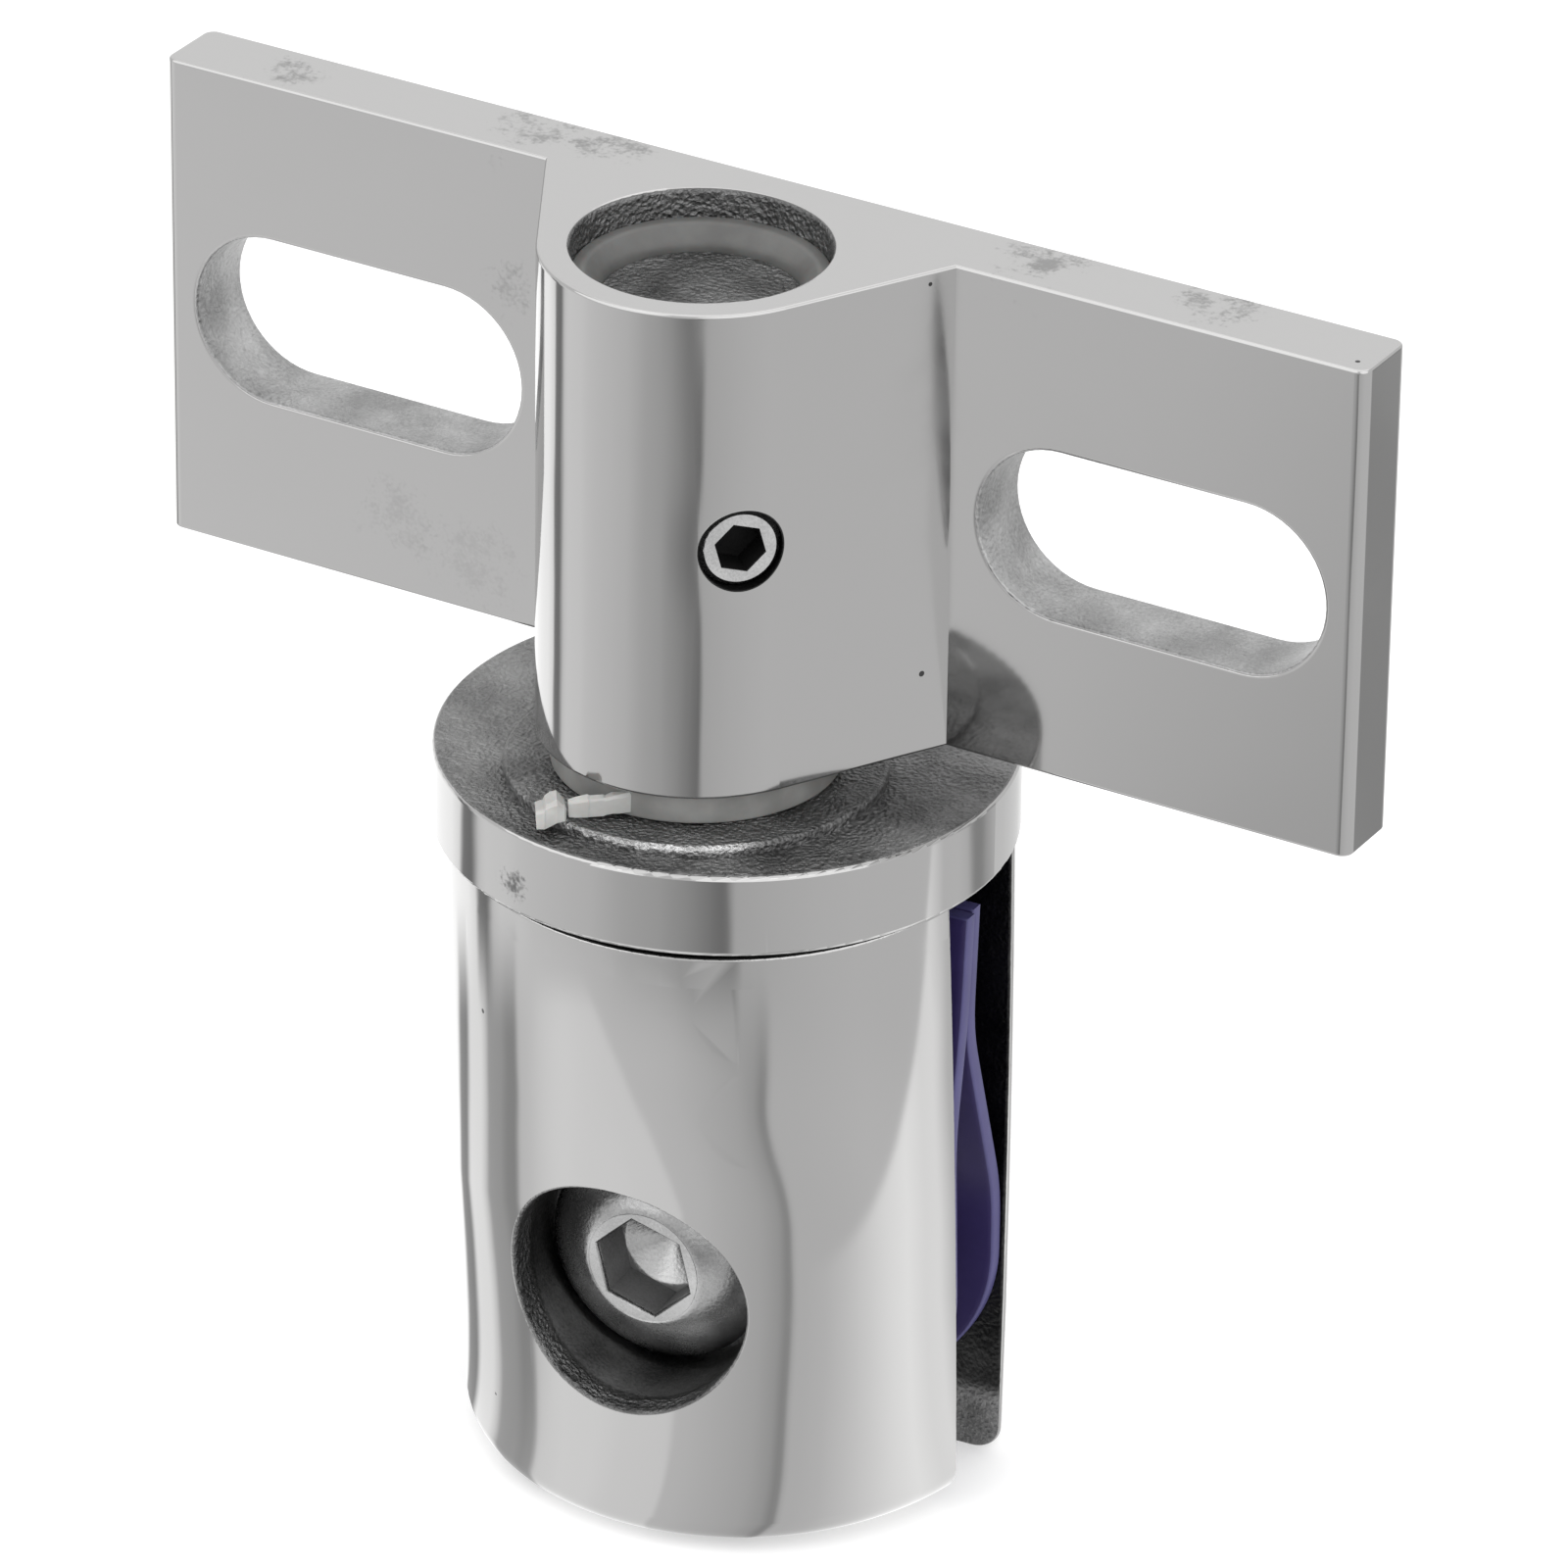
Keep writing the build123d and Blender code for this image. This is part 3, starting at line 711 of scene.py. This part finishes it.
# Torn moulding stub on the flange; each station is (distance, width, top, bottom)
stub = {"root": 12.3, "rootAngle": 4.0, "swing": -55.0, "seed": 7,
        "strip": [(-0.55, 0.25, -23.0, -24.9), (0.1, 0.6, -23.15, -25.05), (0.8, 0.65, -23.3, -25.1),
                  (1.5, 0.7, -23.35, -25.1), (2.1, 0.65, -23.6, -25.2), (2.25, 0.75, -23.5, -25.3),
                  (3.4, 0.7, -23.65, -25.35), (3.6, 0.75, -23.6, -25.4), (4.6, 0.65, -23.75, -25.4),
                  (5.25, 0.45, -23.9, -25.4)],
        "block": [(5.4, 1.1, -24.5, -25.4), (5.6, 1.9, -24.15, -25.42), (6.25, 2.2, -23.35, -25.45),
                  (6.75, 2.2, -23.5, -25.75), (7.2, 2.1, -23.8, -26.0), (7.3, 2.3, -24.15, -26.0),
                  (8.0, 2.0, -24.4, -26.05)]}


# A six-sided section carried along the stub's line, wide by each station's width and high from its bottom to
# its top, with every corner moved a little at random.
def stubRings(s, stations):
    rng = np.random.default_rng(s["seed"])
    a0, a1 = math.radians(s["rootAngle"]), math.radians(s["swing"])
    root = np.array((math.sin(a0), -math.cos(a0))) * s["root"]
    along, across = np.array((math.sin(a1), -math.cos(a1))), np.array((math.cos(a1), math.sin(a1)))
    rings = []
    for distance, width, top, bottom in stations:
        u = np.array((-0.5, -0.5, -0.38, 0.34, 0.5, 0.5)) * width + rng.uniform(-0.05, 0.05, 6)
        v = np.array((0.0, 0.86, 1.0, 0.95, 0.8, 0.0))
        z = bottom + (top - bottom) * v + rng.uniform(-0.07, 0.07, 6) * (v > 0)
        xy = root + along * distance + u[:, None] * across + rng.uniform(-0.06, 0.06, (6, 1)) * along
        rings.append(pivotPoints(xy[:, 0], xy[:, 1], z))
    return np.array(rings)


strip = ringMesh("nylonStrip", stubRings(stub, stub["strip"]), materials["stub"], sharp=12.0)
block = ringMesh("nylonBlock", stubRings(stub, stub["block"]), materials["stub"], sharp=12.0)
for piece in (strip, block):
    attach(piece, "bracket")
print("stub made")

# Pads
pads = {"width": 47.0, "top": 33.0, "bottom": -20.0, "corner": 16.0, "hole": 7.0, "thickness": 1.6,
        "ease": 0.22, "bend": 4.0, "around": 192, "rings": 26,
        "front": {"line": [(-0.45, 33), (-1.2, 23.5), (-3.2, 12), (-1.35, -20)], "shift": 0.0, "body": "jaw"},
        "rear": {"line": [(1.3, 33), (0.5, 21), (7.05, 2), (7.05, -20)], "shift": -0.3, "body": "clamp"}}


# The pad's distance from the shell's axis at each height: the (distance, height) line, run on past its ends,
# its corners eased by averaging over the bend.
def padLine(line, height, bend):
    y, z = np.array(line, float).T
    spread = np.linspace(-1, 1, 41)
    weights = (1 - spread ** 2) / (1 - spread ** 2).sum()
    low, high = z[-1], z[0]
    tail = (y[-1] - y[-2]) / (z[-1] - z[-2])
    head = (y[0] - y[1]) / (z[0] - z[1])
    at = height[..., None] + spread * bend
    inner = np.interp(at, z[::-1], y[::-1])
    inner = np.where(at < low, y[-1] + tail * (at - low), inner)
    inner = np.where(at > high, y[0] + head * (at - high), inner)
    return (inner * weights).sum(-1)


# Distance from the hole's centre to the pad's outline: the nearest side of a rectangle, or where the direction
# meets the circle of a rounded lower corner.
def padOutline(p, angle):
    c, s = np.cos(angle), np.sin(angle)
    half, bottom, r = p["width"] / 2, p["bottom"], p["corner"]
    reach = np.minimum(half / np.maximum(np.abs(c), 1e-9),
                       np.where(s > 0, p["top"] / np.maximum(s, 1e-9), bottom / np.minimum(s, -1e-9)))
    x, z = reach * c, reach * s
    inCorner = (np.abs(x) > half - r) & (z < bottom + r)
    cx, cz = half - r, bottom + r
    proj = np.abs(c) * cx + s * cz
    solved = proj + np.sqrt(np.maximum(proj ** 2 - cx ** 2 - cz ** 2 + r ** 2, 0))
    return np.where(inCorner, solved, reach)


# Points of a pad at a distance from the hole's centre: on its bent middle sheet, moved square to it by the
# offset.
def padRing(p, one, angle, reach, offset):
    x, z = reach * np.cos(angle), reach * np.sin(angle)
    y = padLine(one["line"], z, p["bend"])
    slope = (padLine(one["line"], z + 0.05, p["bend"]) - padLine(one["line"], z - 0.05, p["bend"])) / 0.1
    tilt = np.sqrt(1 + slope ** 2)
    return np.stack([x, y + offset / tilt, z - offset * slope / tilt], -1)


# A sheet between its screw hole and its outline: rings out over one face, round the cut edge, back over the
# other face and round the hole's edge, with eased arrises.
def makePad(name, p, one):
    corners = np.arctan2(p["top"], np.array((1, -1)) * p["width"] / 2)
    angle = np.sort(np.concatenate([np.linspace(-math.pi, math.pi, p["around"] - 2, endpoint=False), corners]))
    hole, edge = np.full_like(angle, p["hole"]), padOutline(p, angle)
    half, ease = p["thickness"] / 2, p["ease"]
    reach = hole + (edge - hole) * np.linspace(0, 1, p["rings"])[1:-1, None]
    band = [(-half, ease), (-half + ease * 0.3, ease * 0.3), (-half + ease, 0.0), (half - ease, 0.0),
            (half - ease * 0.3, ease * 0.3), (half, ease)]
    rings = [padRing(p, one, angle, r, -half) for r in reach]
    rings += [padRing(p, one, angle, edge - inset, offset) for offset, inset in band]
    rings += [padRing(p, one, angle, r, half) for r in reach[::-1]]
    rings += [padRing(p, one, angle, hole + inset, offset) for offset, inset in band[::-1]]
    stack = np.array(rings)
    points = clampPoints(stack[..., 0] + one["shift"], shell["offset"] + stack[..., 1],
                         shell["screwLevel"] + stack[..., 2])
    pad = ringMesh(name, points, materials["pad"], wrap=True, sharp=50.0)
    pad.data.materials.append(materials["padEdge"])
    row = np.arange(len(pad.data.polygons)) // len(angle)
    first, second = len(reach), 2 * len(reach) + len(band)
    cut = ((row >= first) & (row < first + len(band) - 1)) | ((row >= second) & (row < second + len(band) - 1))
    pad.data.polygons.foreach_set("material_index", cut.astype(np.int32))
    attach(pad, one["body"])
    return pad


frontPad = makePad("frontPad", pads, pads["front"])
rearPad = makePad("rearPad", pads, pads["rear"])
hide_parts("front_pad")
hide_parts("rear_pad")
print("pads made")

# Floor, world and lamps
studio = {"floorSide": 1.6, "floorColour": 0.8, "whitening": 0.32, "ambient": 1.0, "backdrop": 1.0}

# Painted reflection: what polished metal sees on the floor, by azimuth about the pivot, 0 towards the front and
# 90 to the right: one ramp near the pivot, one far from it, and a tongue of light beyond a line. Distances are
#                  mm.
reflected = {
    "far": [(-180, 1.0), (-150, 1.2), (-128, 1.45), (-97, 1.6), (-90, 1.4), (-87.5, 0.35), (-81, 0.3),
            (-77, 1.1), (-72, 1.22), (-59, 1.2), (-52, 1.12), (-46, 1.08), (-30, 1.0), (-20, 0.95),
            (-6, 0.77), (6, 0.69), (18, 0.53), (28, 0.36), (32, 0.3), (35, 0.8), (42, 0.83), (54, 0.88),
            (66, 0.92), (79, 0.95), (127, 0.95), (133, 0.85), (137, 0.45), (142, 0.45), (147, 0.7),
            (152, 0.95)],
    "near": [(-180, 1.0), (-150, 1.2), (-128, 1.45), (-112, 1.5), (-108.5, 0.45), (-101, 0.4),
             (-97.5, 1.35), (-88, 1.42), (-84, 1.1), (-81.5, 0.66), (-73, 0.62), (-69, 0.5), (-64, 0.48),
             (-61.5, 1.05), (-50, 1.15), (-36, 1.14), (-25, 1.06), (-10, 1.03), (0, 0.99), (8.5, 0.92),
             (16.5, 0.86), (24.5, 0.79), (31, 0.66), (34.8, 0.45), (37, 0.92), (48, 0.93), (57, 0.95),
             (74, 1.0), (127, 0.95), (140, 0.85), (147, 0.7), (155, 1.0)],
    "tongue": [(58, 0.0), (66, 0.06), (73, 0.18), (81, 0.34), (89, 0.53), (97, 0.68), (104, 0.52),
               (110, 0.56), (114, 0.3), (118, 0.0)],
    "nearEnd": (88, 115), "bend": ((105, 135, 8.5), (66, 86, 9.0)), "leftBend": (60, 0.5),
    "bendSide": (-36, -8), "wobble": 3.0, "wobbleScale": 26.0,
    "dents": ((205, 10, 8.0), (262, 6, 8.0)), "dentStart": (0, 12), "dentEnd": (50, 75),
    "glow": {"gain": 0.22, "start": (-58, -38), "edge": (10, 66, -1.1), "last": 12.0, "soft": 1.5,
             "end": (95, 104)},
    "tongueLine": ((83, 1), (-0.733, 0.68)), "tongueEdge": (-1.5, 2.5), "brightest": 3.0,
}


# A colour ramp read by azimuth in degrees; stops are held as parts of the brightest, so that those over 1 fit.
def azimuthRamp(tree, azimuth, stops):
    brightest = reflected["brightest"]
    ramp = addNode(tree, "ShaderNodeValToRGB", {0: remap(tree, azimuth, -180, 180, smooth=False)})
    made = ramp.color_ramp.elements
    made.remove(made[1])
    for angle, value in stops:
        stop = made.new((angle + 180) / 360) if angle > -180 else made[0]
        stop.color = (value / brightest,) * 3 + (1,)
    made[0].position = (stops[0][0] + 180) / 360
    return calc(tree, "MULTIPLY", ramp.outputs[0], brightest)


# Painted reflection: studio brightness that polished metal sees on the floor, by azimuth and distance to the
# pivot
def floorReflection(tree, place, r):
    def times(*values):
        return allOf(tree, *values)

    def plus(*values):
        return calc(tree, "ADD", *values)

    def minus(*values):
        return calc(tree, "SUBTRACT", *values)

    xyz = axesOf(tree, place)
    ahead = minus(pivot["y"] * mm, xyz[1])
    away = calc(tree, "SQRT", plus(times(xyz[0], xyz[0]), times(ahead, ahead)))
    azimuth = times(calc(tree, "ARCTAN2", xyz[0], ahead), 180 / math.pi)
    ripple = noise(tree, place, r["wobbleScale"], 2.0)["Fac"]
    azimuth = plus(azimuth, times(minus(ripple, 0.5), 2 * r["wobble"]))

    # The near ramp bends with the distance, more on the right than on the left
    rightBend = plus(*(remap(tree, away, low * mm, high * mm, turn, 0.0) for low, high, turn in r["bend"]))
    leftEnd, leftTurn = r["leftBend"]
    leftBend = times(calc(tree, "MAXIMUM", minus(leftEnd * mm, away), 0.0), leftTurn / mm)
    bent = minus(azimuth, mixValue(tree, remap(tree, azimuth, *r["bendSide"]), leftBend, rightBend))

    # The far ramp bulges by a bell curve at each dent's distance
    shift = 0.0
    for spot, reach, turn in r["dents"]:
        off = calc(tree, "DIVIDE", minus(away, spot * mm), reach * mm)
        shift = plus(shift, times(calc(tree, "EXPONENT", times(off, off, -1.0)), turn))
    dented = plus(azimuth, times(shift, remap(tree, azimuth, *r["dentStart"]),
                                 remap(tree, azimuth, *r["dentEnd"], 1.0, 0.0)))
    far = remap(tree, away, *(v * mm for v in r["nearEnd"]))
    level = mixValue(tree, far, azimuthRamp(tree, bent, r["near"]), azimuthRamp(tree, dented, r["far"]))

    # A painted glow of light on the near floor, as far round as an edge that turns with the distance
    g = r["glow"]
    turn, base, slope = g["edge"]
    edge = calc(tree, "MINIMUM", plus(times(away, slope / mm), turn - base * slope), g["last"])
    glow = times(remap(tree, minus(azimuth, edge), -g["soft"], g["soft"], 1.0, 0.0),
                 remap(tree, azimuth, *g["start"]),
                 remap(tree, away, *(v * mm for v in g["end"]), g["gain"], 0.0))

    (px, py), (nx, ny) = r["tongueLine"]
    side = plus(times(minus(xyz[0], px * mm), nx), times(minus(xyz[1], (pivot["y"] + py) * mm), ny))
    tongue = times(azimuthRamp(tree, azimuth, r["tongue"]),
                   remap(tree, side, *(v * mm for v in r["tongueEdge"])))
    return plus(plus(level, glow), tongue)


# A flat square grid at the part's lowest level; polished metal sees the studio's light and dark sectors painted
# on it as a glowing reflection, the camera sees plain white.
def makeFloor(s):
    side, level = s["floorSide"], cadBox[0][2]
    across = np.linspace(-side, side, 9)
    x, y = np.meshgrid(across, across)
    points = np.stack([x, y, np.full_like(x, level)], -1).reshape(-1, 3)
    index = np.arange(x.size).reshape(x.shape)
    quads = np.stack([index[:-1, :-1], index[:-1, 1:], index[1:, 1:], index[1:, :-1]], -1).reshape(-1, 4)
    mesh = bpy.data.meshes.new("floor")
    mesh.from_pydata(points.tolist(), [], quads.tolist())
    floor = bpy.data.objects.new("floor", mesh)
    bpy.context.scene.collection.objects.link(floor)
    material, tree, surface, place = newMaterial("floorPaperAndPaintedReflection")
    tree.nodes.remove(surface)
    output = tree.nodes["Material Output"]
    ray = tree.nodes.new("ShaderNodeLightPath").outputs
    # Painted reflection, seen by glossy rays only
    seen = addNode(tree, "ShaderNodeEmission", {"Strength": floorReflection(tree, place, reflected)})
    paper = addNode(tree, "ShaderNodeBsdfDiffuse", {"Color": grey(s["floorColour"])})
    lift = calc(tree, "MULTIPLY", ray["Is Camera Ray"], s["whitening"])
    white = addNode(tree, "ShaderNodeEmission", {"Color": grey(1.0), "Strength": lift})
    plain = addNode(tree, "ShaderNodeAddShader", {0: paper.outputs[0], 1: white.outputs[0]})
    both = addNode(tree, "ShaderNodeMixShader", {0: ray["Is Glossy Ray"], 1: plain.outputs[0],
                                                 2: seen.outputs[0]})
    tree.links.new(both.outputs[0], output.inputs["Surface"])
    mesh.materials.append(material)


# White wherever it is seen or reflected, and at the ambient level where it only lights
def makeWorld(s):
    world = bpy.data.worlds.new("studio")
    bpy.context.scene.world = world
    world.use_nodes = True
    tree = world.node_tree
    ray = tree.nodes.new("ShaderNodeLightPath").outputs
    seen = anyOf(tree, ray["Is Camera Ray"], ray["Is Glossy Ray"], ray["Is Transmission Ray"])
    strength = mixValue(tree, seen, s["ambient"], s["backdrop"])
    tree.links.new(strength, tree.nodes["Background"].inputs["Strength"])
    tree.nodes["Background"].inputs["Color"].default_value = (1, 1, 1, 1)


lampAim = (0, -10, -35)
lamps = {"key": {"place": (-330, -520, 430), "size": 900, "power": 1.6},
         "fill": {"place": (520, -260, 300), "size": 800, "power": 1.2},
         "top": {"place": (60, 40, 620), "size": 900, "power": 1.0}}


def makeLamp(name, lamp):
    data = bpy.data.lights.new(name, "AREA")
    data.shape, data.size, data.energy = "DISK", lamp["size"] * mm, lamp["power"]
    piece = bpy.data.objects.new(name, data)
    place = Vector(lamp["place"]) * mm
    piece.location = place
    piece.rotation_euler = (place - Vector(lampAim) * mm).to_track_quat("Z", "Y").to_euler()
    bpy.context.scene.collection.objects.link(piece)


makeFloor(studio)
makeWorld(studio)
for lampName, lamp in lamps.items():
    makeLamp(lampName, lamp)
print("studio made")
